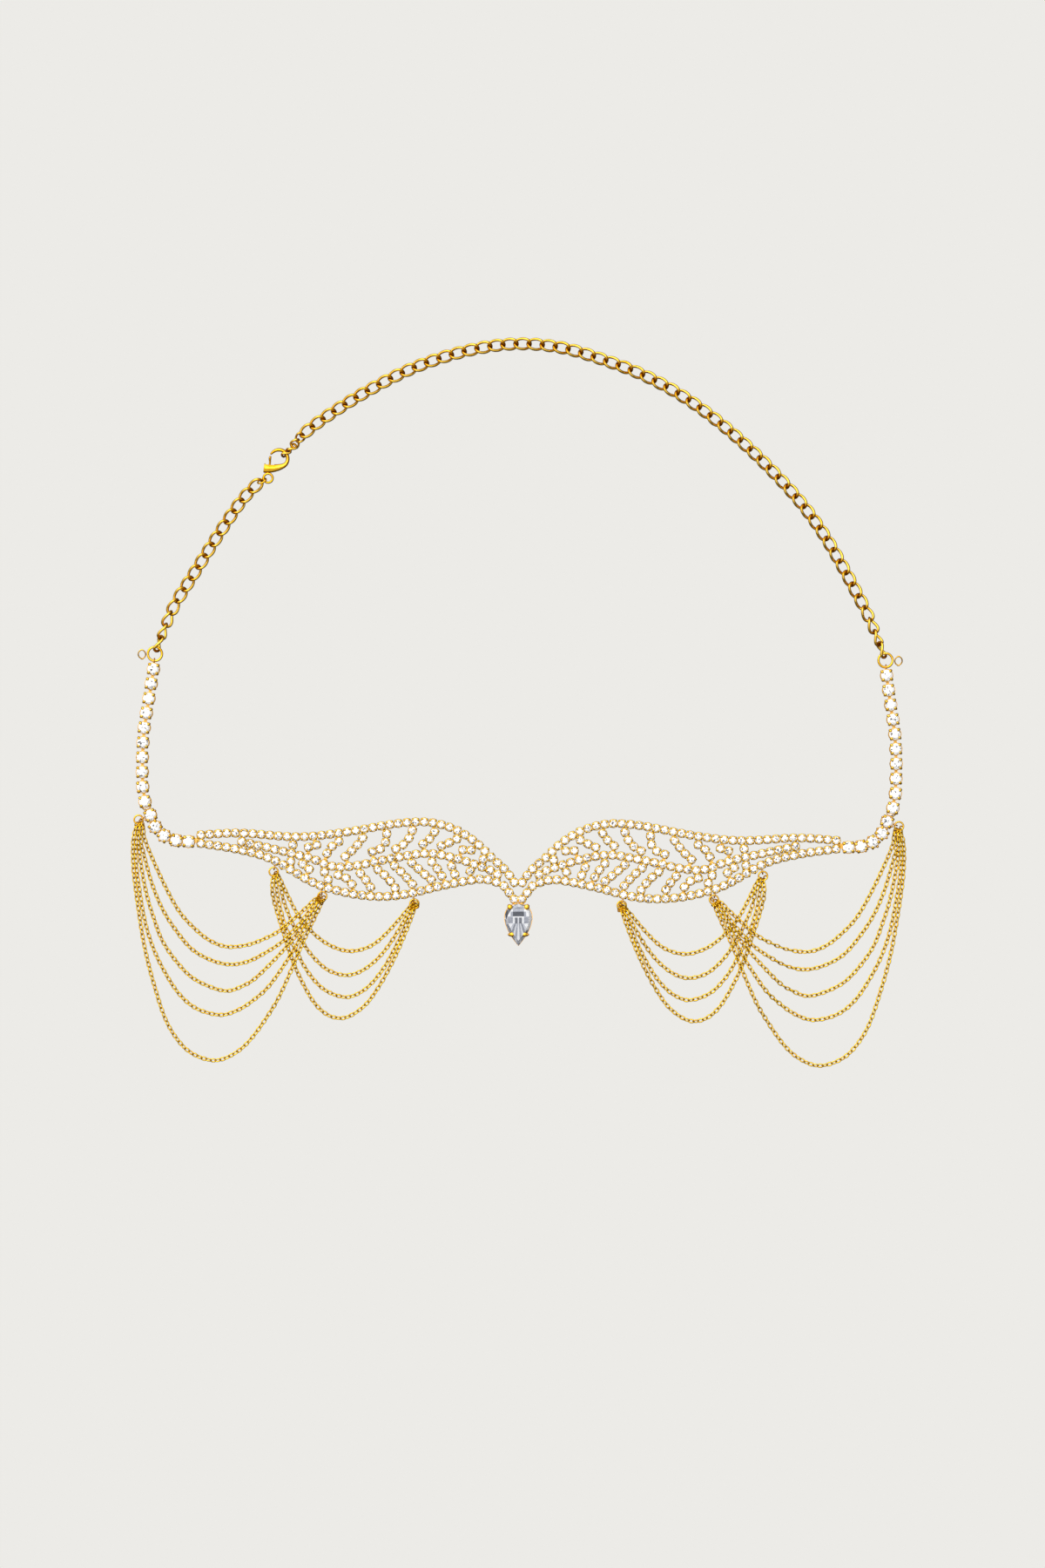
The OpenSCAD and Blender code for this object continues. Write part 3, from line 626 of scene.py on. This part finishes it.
# painted reflections of its facets, as shades: rows of the table from the top, each a height and (out to,
# shade) in it, the rays from the middle outwards, and for the crown a bright and a dark panel (from and to
# across, from and to up, shade) and the shades of the rest
pearReflections = {"rows": [(3.1, [(9, 0.4)]),
                       (2.3, [(1.5, 0.58), (9, 0.95)]),
                       (1, [(1.5, 0.12), (2.1, 0.5), (9, 0.9)]),
                       (0.7, [(1.5, 0.9), (9, 0.55)]),
                       (-0.9, [(0.2, 0.7), (0.95, 0.25), (1.5, 0.8), (9, 0.45)])],
              "rays": (0.75, 0.45, 0.68, 0.35, 0.62, 0.85),
              "panels": [(1.8, 9, -2.5, 9, 0.95), (-9, -1.8, 0.8, 2.6, 0.02)],
              "crown": (0.4, 0.62, 0.5, 0.8, 0.35)}


def pearOutline(share):
    turn = share * math.tau
    x = math.sin(turn) * math.sin(turn / 2) / pearStone["fullest"]
    half = (pearStone["below"] + pearStone["above"]) / 2
    return (x * pearStone["width"] / 2 * mm, (half * (1 - math.cos(turn)) - pearStone["below"]) * mm)


# painted reflection of a facet, as a shade, from where it lies: u to the right and v upwards from the widest
# line, in millimetres
def pearReflection(u, v, onTable, number):
    if onTable:
        for height, row in pearReflections["rows"]:
            if v > height:
                return next(shade for limit, shade in row if abs(u) < limit)
        ray = math.degrees(math.atan2(u, pearLines["raysFrom"] - v))
        return pearReflections["rays"][sum(abs(ray) > limit for limit in pearLines["rays"] if limit > 0)]
    for left, right, low, high, shade in pearReflections["panels"]:
        if left < u < right and low < v < high:
            return shade
    return pearReflections["crown"][number % len(pearReflections["crown"])]


def makePearStone():
    mesh = cutStone("pearStone", pearOutline, pearStone)
    edit = bmesh.new()
    edit.from_mesh(mesh)
    cuts = [((0, v), (0, 1)) for v in pearLines["up"]] + [((u, 0), (1, 0)) for u in pearLines["out"]]
    cuts += [((0, pearLines["raysFrom"]), (math.cos(math.radians(ray)), math.sin(math.radians(ray))))
             for ray in pearLines["rays"]]
    for (u, v), (across, up) in cuts:
        table = [f for f in edit.faces if f.normal.z > reading["level"]]
        parts = set(table) | {e for f in table for e in f.edges} | {w for f in table for w in f.verts}
        bmesh.ops.bisect_plane(edit, geom=list(parts), plane_co=(u * mm, v * mm, 0), plane_no=(across, up, 0))
    edit.to_mesh(mesh)
    edit.free()
    shade = mesh.attributes.new("facetShade", "FLOAT", "FACE")
    for face in mesh.polygons:
        u, v = face.center.x / mm, face.center.y / mm
        shade.data[face.index].value = pearReflection(u, v, face.normal.z > reading["level"], face.index)
    mesh.transform(Matrix.Translation((0, pearStone["middleY"] * mm, pearStone["girdle"] * mm)))
    return pieceFrom("pearStone", mesh, pearCrystal)


settle(makePearStone(), "pear_crystal", "pear_stone")


# a tube of oval section along a path: each point is x, y, z, half the width and half the height
def ovalTube(name, path, count=16):
    mesh = bmesh.new()
    rings = []
    for i, (x, y, z, wide, high) in enumerate(path):
        before, after = path[max(i - 1, 0)], path[min(i + 1, len(path) - 1)]
        way = Vector((after[0] - before[0], after[1] - before[1], after[2] - before[2])).normalized()
        across = way.cross(Vector((0, 0, 1))).normalized()
        up = across.cross(way)
        rings.append([mesh.verts.new((Vector((x, y, z)) + across * wide * math.cos(math.tau * k / count)
                                      + up * high * math.sin(math.tau * k / count)) * mm)
                      for k in range(count)])
    for low, high in zip(rings, rings[1:]):
        for k in range(count):
            mesh.faces.new((low[k], low[(k + 1) % count], high[(k + 1) % count], high[k]))
    mesh.faces.new(rings[0])
    mesh.faces.new(rings[-1])
    bmesh.ops.recalc_face_normals(mesh, faces=mesh.faces)
    made = meshFrom(name, mesh)
    made.shade_smooth()
    return made


def joined(name, meshes, material):
    mesh = bmesh.new()
    for part in meshes:
        mesh.from_mesh(part)
    made = meshFrom(name, mesh)
    made.shade_smooth()
    return pieceFrom(name, made, material)


# claws that hold the pear stone, from their feet on the setting to their tips on the stone
pearClaws = {"upper": [(2.5, -55.3, 2.9, 0.35, 0.35), (2.5, -55.35, 3.6, 0.5, 0.45),
                       (2.4, -55.5, 3.78, 0.7, 0.5), (2.15, -55.85, 3.84, 0.72, 0.42),
                       (1.8, -56.3, 3.84, 0.35, 0.2)],
             "lower": [(2.45, -63.15, 2.9, 0.35, 0.35), (2.3, -63.15, 3.5, 0.45, 0.42),
                       (1.95, -63.1, 3.76, 0.62, 0.5), (1.45, -63.0, 3.82, 0.66, 0.45),
                       (0.95, -62.85, 3.82, 0.35, 0.25)]}
claws = [ovalTube("claw", [(sign * x, y, z, wide, high) for x, y, z, wide, high in path])
         for sign in (-1, 1) for path in pearClaws.values()]
settle(joined("pearClaws", claws, chainGold), "gold")
print("pear stone is set")

# links of the chain over the head, one on each link of the frame; "wire" is the radius of the wire, and the
# half lengths and widths go to its middle
curbLink = {"halfLength": 2.15, "halfWidth": 1.4, "twist": 1.2, "wire": 0.39, "lift": 0.24,
            "segments": 36, "sides": 8}
shortLink = {"halfLength": 1.29, "halfWidth": 1.12, "twist": 1.1, "wire": 0.31, "lift": 0.1,
             "segments": 36, "sides": 8}


# a link's long way, its width and its thickness, from the spread of its corners
def linkTurn(corners, middle):
    offsets = numpy.array([tuple(v.co - middle) for v in corners])
    ways = numpy.linalg.eigh(offsets.T @ offsets)[1]
    long, wide = Vector(ways[:, 2]), Vector(ways[:, 1])
    thick = long.cross(wide)
    return Matrix((long, wide, thick)).transposed().to_euler()


linksTree = placedLinksTree()


def linkChain(name, node, sizes):
    mesh = mergedCad(node)
    spots, turns = [], []
    for corners in groups(mesh.faces):
        middle = sum((v.co for v in corners), Vector()) / len(corners)
        spots.append(middle + Vector((0, 0, sizes["lift"] * mm)))
        turns.append(tuple(linkTurn(corners, middle)))
    mesh.free()
    chain = runTree(name, pointMesh("links", spots, turns), linksTree, {
        "Half length": sizes["halfLength"] * mm, "Half width": sizes["halfWidth"] * mm,
        "Twist": sizes["twist"] * mm, "Wire radius": sizes["wire"] * mm,
        "Segments": sizes["segments"], "Wire sides": sizes["sides"], "Material": chainGold})
    settle(chain, "gold", node)
    print(name, "links:", len(spots))


linkChain("curbChain.left", "curb_chain_left", curbLink)
linkChain("curbChain.right", "curb_chain_right", curbLink)
linkChain("shortChain", "short_chain", shortLink)

# fine cable chain of the swags, along the routes of the frame's tubes: out from the middle, up and height;
# the length and width are over all, and "wire" is the thickness
cableLink = {"pitch": 1.27, "length": 1.93, "width": 1.3, "wire": 0.39, "segments": 12, "sides": 5,
             "flatRoll": 12, "edgeRoll": -48, "wobble": 12, "lift": 0.3, "innerSeed": 10}
outerRoutes = [
    [[101.2, -33.6, 0.4], [100.9, -37, 0.4], [98.8, -42.5, 0.4], [95.2, -50.3, 0.4], [91.7, -56.6, 0.4],
        [88, -60.9, 0.4], [83.5, -64.6, 0.4], [78.8, -66.4, 0.4], [73.4, -66, 0.4], [68.6, -64.3, 1.2],
        [64, -61.8, 1.5], [58, -56.6, 1.5], [54.7, -53.5, 1.5]],
    [[101.6, -34, 1.4], [101.8, -38, 1.3], [100.8, -42.5, 0.4], [98.8, -49.6, 0.4], [96.2, -55.9, 0.4],
        [92.9, -61.3, 0.4], [88.4, -66.8, 0.4], [83.5, -69.8, 0.4], [78.3, -71.2, 0.4], [73.6, -70.6, 0.5],
        [69.2, -68.6, 1.5], [63.5, -64.9, 1.6], [58.8, -60, 2.4], [54.5, -54, 2.4]],
    [[102.1, -34.1, 0.4], [102.5, -38, 0.4], [101.9, -43.7, 0.4], [100.4, -51.9, 0.4], [98.5, -58.3, 0.4],
        [96, -64.9, 0.4], [91.7, -71.1, 0.4], [87, -75.4, 0.4], [79.5, -78.3, 0.4], [74.4, -77, 0.5],
        [69.8, -73.9, 1.5], [61.2, -64.9, 1.5], [57.2, -59, 1.5], [54.1, -54.3, 1.5]],
    [[102.6, -34.1, 1.4], [103.2, -38.5, 1.3], [102.9, -46.1, 0.5], [101.1, -57.8, 0.4], [99.2, -64.9, 0.4],
        [96.4, -71.4, 0.4], [91.9, -78.7, 0.4], [87, -83, 0.4], [80.7, -84.8, 0.4], [75.9, -83.6, 0.4],
        [71.2, -80.6, 0.5], [66.6, -76.2, 1.5], [60.2, -66.6, 1.6], [56.4, -59, 2.4], [53.7, -54.6, 2.4]],
    [[103.1, -34, 0.4], [103.9, -38, 0.4], [103.8, -46.1, 0.4], [102.3, -57.8, 0.4], [100.7, -67.2, 0.4],
        [98.3, -76.6, 0.4], [95.2, -86, 0.4], [91.4, -92.2, 0.4], [87.3, -95.6, 0.4], [81.9, -97.1, 0.4],
        [76.9, -95.4, 0.4], [72.5, -91.7, 0.4], [67.6, -85, 0.5], [63.8, -78.4, 1.5], [57.6, -64.2, 1.5],
        [53.1, -54.8, 1.5]]]
innerRoutes = [
    [[64.6, -47.5, 0.4], [62, -53.1, 0.4], [59.5, -57.8, 0.4], [56.5, -61.6, 0.4], [52.9, -64.8, 0.4],
        [49.4, -66.7, 0.4], [45.9, -67.6, 0.4], [42.4, -67.2, 0.4], [38.8, -65.6, 0.4], [35.3, -62.5, 0.4],
        [31.8, -58.6, 0.4], [29.7, -56.1, 0.4]],
    [[65, -47.8, 1.4], [63.9, -51, 1.4], [63.2, -54.5, 0.4], [60.5, -61.1, 0.4], [57.4, -66.5, 0.4],
        [54.6, -70, 0.4], [51.2, -72.8, 0.4], [46.8, -74.1, 0.4], [42.8, -73.2, 0.4], [38.8, -70.4, 0.4],
        [35.4, -66.6, 0.5], [32.3, -61.9, 1.4], [29.3, -56.6, 1.4]],
    [[65.5, -48.1, 0.4], [65.2, -51, 0.4], [64.4, -55.5, 0.4], [62.3, -62.5, 0.4], [59.3, -68.9, 0.4],
        [56.1, -74.2, 0.4], [52.2, -78.1, 0.4], [47.1, -80, 0.4], [43.3, -79.1, 0.4], [39.8, -76.5, 0.4],
        [36.5, -72.4, 0.4], [33.8, -67.7, 0.4], [31.2, -62.5, 0.4], [28.9, -56.9, 0.4]],
    [[66.2, -48.2, 1.4], [66.4, -51, 1.4], [65.7, -55, 0.4], [64.1, -60.4, 0.4], [61.6, -68.4, 0.4],
        [58.8, -75, 0.4], [55.3, -81.2, 0.4], [51.8, -84.6, 0.4], [48.2, -85.7, 0.4], [44.9, -84.8, 0.4],
        [41, -81.8, 0.4], [37.6, -77.1, 0.5], [34.4, -71.4, 1.4], [31.4, -64.9, 1.4], [28.3, -57.1, 1.4]]]


def ringMiddle(name, side):
    low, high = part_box("swag_ring_" + name + "_" + side)
    return (low + high) / 2


# the chain's end link goes round the wire of the ring that carries it
ringWire = {"radius": 1.2, "outside": 0.2}


def onRing(middle, towards):
    way = Vector((towards.x - middle.x, towards.y - middle.y, 0)).normalized()
    return middle + way * (ringWire["radius"] + ringWire["outside"]) * mm


# a point of the plan on its side: mirrored on the left, turned a little on the right
rightTurn = {"degrees": -1, "aboutY": -44}


def onSide(u, y, z, side):
    if side == "left":
        return Vector((-u, y, z)) * mm
    roll = Matrix.Rotation(math.radians(rightTurn["degrees"]), 3, "Z")
    turned = roll @ Vector((u, y - rightTurn["aboutY"], z))
    return (turned + Vector((0, rightTurn["aboutY"], 0))) * mm


def cableSizes(wireSides):
    return {"Half length": (cableLink["length"] - cableLink["wire"]) / 2 * mm,
            "Half width": (cableLink["width"] - cableLink["wire"]) / 2 * mm, "Twist": 0.0,
            "Wire radius": cableLink["wire"] / 2 * mm, "Segments": cableLink["segments"],
            "Wire sides": wireSides, "Material": fineGold}


def makeSwag(name, node, route, side, ringA, ringB, seed):
    points = [onSide(u, y, z + cableLink["lift"], side) for u, y, z in route]
    first, last = onRing(ringMiddle(ringA, side), points[0]), onRing(ringMiddle(ringB, side), points[-1])
    swag = runTree(name, lineMesh("route", smoothLine([first] + points + [last])), swagTree, {
        "Pitch": cableLink["pitch"] * mm, "Flat roll": math.radians(cableLink["flatRoll"]),
        "Edge roll": math.radians(cableLink["edgeRoll"]), "Wobble": math.radians(cableLink["wobble"]),
        "Seed": seed, **cableSizes(cableLink["sides"])})
    settle(swag, "gold", node)


swagTree = cableTree()
for side in sides:
    for number, route in enumerate(outerRoutes, 1):
        makeSwag(f"outerSwag.{number}.{side}", f"outer_swag_{number}_{side}", route, side, "a", "c", number)
    for number, route in enumerate(innerRoutes, 1):
        makeSwag(f"innerSwag.{number}.{side}", f"inner_swag_{number}_{side}", route, side, "b", "d",
                 cableLink["innerSeed"] + number)
print("swags are hung")

# bunched links where the swags end, from the middle of each ring outwards, each a step further round and
# a "rise" further up between "low" and "high"; the angles are in radians
bunch = {"count": {"a": 1, "b": 1, "c": 3, "d": 8}, "spread": 0.95, "low": 0.9, "high": 2.2, "down": 0.4,
         "step": 2.4, "rise": 0.618, "tilt": 0.9, "tiltX": 5.1, "tiltY": 3.7, "turn": 1.9, "sides": 6}


def bunchSpots(name, side):
    middle = ringMiddle(name, side)
    count = bunch["count"][name]
    spots, turns = [], []
    for k in range(count):
        reach = bunch["spread"] * math.sqrt((k + 0.5) / count) * mm
        turn = bunch["step"] * k
        height = (bunch["low"] + (bunch["high"] - bunch["low"]) * ((k * bunch["rise"]) % 1)) * mm
        spots.append(Vector((middle.x + reach * math.cos(turn),
                             middle.y + reach * math.sin(turn) - bunch["down"] * mm, height)))
        turns.append((bunch["tilt"] * math.sin(bunch["tiltX"] * k),
                      bunch["tilt"] * math.cos(bunch["tiltY"] * k), bunch["turn"] * k))
    return spots, turns


for side in sides:
    spots, turns = [], []
    for name in "abcd":
        more = bunchSpots(name, side)
        spots += more[0]
        turns += more[1]
    ends = runTree("swagEnds." + side, pointMesh("ends", spots, turns), linksTree, cableSizes(bunch["sides"]))
    settle(ends, "gold")
print("swag ends are bunched")

# the clasp: a hook that grows into a flared horn, and its lever, as x, y, half the width and half the height
# from the hook's middle
clasp = {"at": (-64.6, 65.1), "bottom": 0.75, "thickness": 1.2, "steps": 4, "hornSides": 20, "leverSides": 12,
         "pivot": (-2.5, -2.3), "pin": 0.3, "pinSides": 20, "pinInset": 0.3,
         "slotLow": (-3.6, -3.3), "slotHigh": (-1.2, 0.7), "slotHeight": 0.69,
         "loopAt": (-2.9, -5.2), "loop": 1.22, "loopWire": 0.33,
         "horn": [(-2.2, 1.15, 0.16, 0.22), (-1.98, 1.45, 0.3, 0.36), (-1.45, 1.93, 0.4, 0.46),
                  (-0.75, 2.3, 0.46, 0.52), (0.1, 2.42, 0.5, 0.56), (0.95, 2.25, 0.5, 0.58),
                  (1.7, 1.72, 0.5, 0.6), (2.2, 1.0, 0.5, 0.6), (2.4, 0.1, 0.5, 0.6),
                  (2.25, -0.8, 0.52, 0.6), (1.75, -1.55, 0.6, 0.6), (0.95, -2.0, 0.72, 0.6),
                  (0, -2.3, 0.88, 0.6), (-1.1, -2.5, 1.04, 0.6), (-2.2, -2.58, 1.18, 0.6),
                  (-3.2, -2.55, 1.27, 0.6), (-3.85, -2.5, 1.27, 0.58), (-4.05, -2.48, 1.15, 0.48)],
         "lever": [(-2.5, -2.3, 0.3, 0.2), (-2.44, -1.5, 0.28, 0.2), (-2.38, -0.7, 0.28, 0.24),
                   (-2.4, -0.2, 0.34, 0.38), (-2.36, 0.3, 0.34, 0.42), (-2.22, 0.76, 0.22, 0.3)]}


def claspPoint(x, y, z):
    return (x + clasp["at"][0], y + clasp["at"][1], z + clasp["bottom"] + clasp["thickness"] / 2)


def ringMesh(name, middle, radius, wire, count=32, around=12):
    mesh = bmesh.new()
    rings = []
    for i in range(count):
        turn = math.tau * i / count
        way = Vector((math.cos(turn), math.sin(turn), 0))
        rings.append([mesh.verts.new((Vector(middle) + way * (radius + wire * math.cos(math.tau * k / around))
                                      + Vector((0, 0, wire * math.sin(math.tau * k / around)))) * mm)
                      for k in range(around)])
    for i in range(count):
        low, high = rings[i], rings[(i + 1) % count]
        for k in range(around):
            mesh.faces.new((low[k], high[k], high[(k + 1) % around], low[(k + 1) % around]))
    bmesh.ops.recalc_face_normals(mesh, faces=mesh.faces)
    return meshFrom(name, mesh)


# the horn is slit for the lever, whose pin goes through it
def slitHorn(horn):
    box = bmesh.new()
    low = Vector(claspPoint(*clasp["slotLow"], -clasp["slotHeight"] / 2))
    high = Vector(claspPoint(*clasp["slotHigh"], clasp["slotHeight"] / 2))
    bmesh.ops.create_cube(box, size=1)
    for corner in box.verts:
        corner.co = Vector([(low[i] if corner.co[i] < 0 else high[i]) * mm for i in range(3)])
    cutter = pieceFrom("slot", meshFrom("slot", box))
    cut = horn.modifiers.new("slot", "BOOLEAN")
    cut.object = cutter
    cut.operation = "DIFFERENCE"
    cut.solver = "EXACT"
    seen = horn.evaluated_get(bpy.context.evaluated_depsgraph_get())
    made = bpy.data.meshes.new_from_object(seen)
    bpy.data.objects.remove(horn)
    bpy.data.objects.remove(cutter)
    return made


# a path through the middle of the clasp's thickness, smoothed
def claspPath(name):
    points = [Vector((*claspPoint(x, y, 0), wide, high)) for x, y, wide, high in clasp[name]]
    return smoothLine(points, clasp["steps"])


def makeClasp():
    horn = pieceFrom("horn", ovalTube("horn", claspPath("horn"), clasp["hornSides"]))
    pin = bmesh.new()
    bmesh.ops.create_cone(pin, cap_ends=True, segments=clasp["pinSides"], radius1=clasp["pin"] * mm,
                          radius2=clasp["pin"] * mm, depth=(clasp["thickness"] - clasp["pinInset"]) * mm,
                          matrix=Matrix.Translation(Vector(claspPoint(*clasp["pivot"], 0)) * mm))
    pinMesh = meshFrom("pin", pin)
    loop = ringMesh("loop", claspPoint(*clasp["loopAt"], 0), clasp["loop"], clasp["loopWire"])
    return joined("claspHook", [slitHorn(horn), pinMesh, loop], claspGoldShaded)


def makeLever():
    return pieceFrom("claspLever", ovalTube("claspLever", claspPath("lever"), clasp["leverSides"]), leverGoldShaded)


settle(makeClasp(), "gold", "clasp_body")
settle(makeLever(), "gold", "clasp_lever", onto="clasp_lever")
print("clasp is made")

# finishes of the nodes that keep the frame's own shape
kept = {"headpiece_frame": cupGold, "clasp_ring": chainGold}
for side in sides:
    kept["strap_" + side] = cupGold
    kept["end_ring_" + side] = chainGold
    kept["pin_loop_" + side] = chainGold
    for name in "abcd":
        kept["swag_ring_" + name + "_" + side] = chainGold
for node, material in kept.items():
    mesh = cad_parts[node].data
    mesh.materials.clear()
    mesh.materials.append(material)
print("frame nodes are finished")


# floor and light
ground = {"half": 1500, "level": -0.02, "glow": (0.84, 0.83, 0.8, 1)}


# pale and lit evenly from within, so nothing casts a shadow on it
def paleFloor():
    material, shader = newMaterial("paleFloor")
    shader.inputs["Base Color"].default_value = (0, 0, 0, 1)
    shader.inputs["Roughness"].default_value = 1
    shader.inputs["Specular IOR Level"].default_value = 0
    shader.inputs["Emission Color"].default_value = ground["glow"]
    shader.inputs["Emission Strength"].default_value = 1
    return material


def makeStage():
    mesh = bpy.data.meshes.new("floor")
    half, level = ground["half"] * mm, ground["level"] * mm
    mesh.from_pydata([(-half, -half, level), (half, -half, level), (half, half, level), (-half, half, level)],
                     [], [(0, 1, 2, 3)])
    floor = pieceFrom("floor", mesh, paleFloor())
    floor.visible_glossy = False


# a room that is brighter towards the upper left, under soft lamps: a very wide one and a narrower one above,
# and one at the upper left
room = {"towards": (-0.6, 0.75, 0.25), "tones": [(0.3, 0.15), (0.6, 0.28), (0.9, 0.8)],
        "warmth": (1, 0.985, 0.96)}
lamps = {"softLamp": {"towards": (-0.1, 0.35, 1), "strength": 1.75, "width": 136},
         "overheadLamp": {"towards": (-0.1, 0.2, 1), "strength": 0.4, "width": 20},
         "sideLamp": {"towards": (-0.6, 0.75, 0.8), "strength": 0.85, "width": 60}}


def makeLight():
    world = bpy.data.worlds.new("room")
    scene.world = world
    world.use_nodes = True
    tree = world.node_tree
    way = addNode(tree, "ShaderNodeTexCoord").outputs["Generated"]
    facing = addMath(tree, "DOT_PRODUCT", way, Vector(room["towards"]).normalized(),
                     kind="ShaderNodeVectorMath")
    share = addNode(tree, "ShaderNodeMapRange", Value=facing, FromMin=-1.0)
    ramp = addNode(tree, "ShaderNodeValToRGB", Fac=share.outputs["Result"])
    fillRamp(ramp, [(position, [level * tint for tint in room["warmth"]] + [1])
                    for position, level in room["tones"]])
    tree.links.new(ramp.outputs["Color"], tree.nodes["Background"].inputs["Color"])
    for name, settings in lamps.items():
        data = bpy.data.lights.new(name, "SUN")
        data.energy = settings["strength"]
        data.angle = math.radians(settings["width"])
        lamp = bpy.data.objects.new(name, data)
        lamp.location = settings["towards"]
        lamp.rotation_euler = Vector(settings["towards"]).to_track_quat("Z", "Y").to_euler()
        scene.collection.objects.link(lamp)
    scene.view_settings.view_transform = "Standard"


makeStage()
makeLight()
print("floor and light are set")
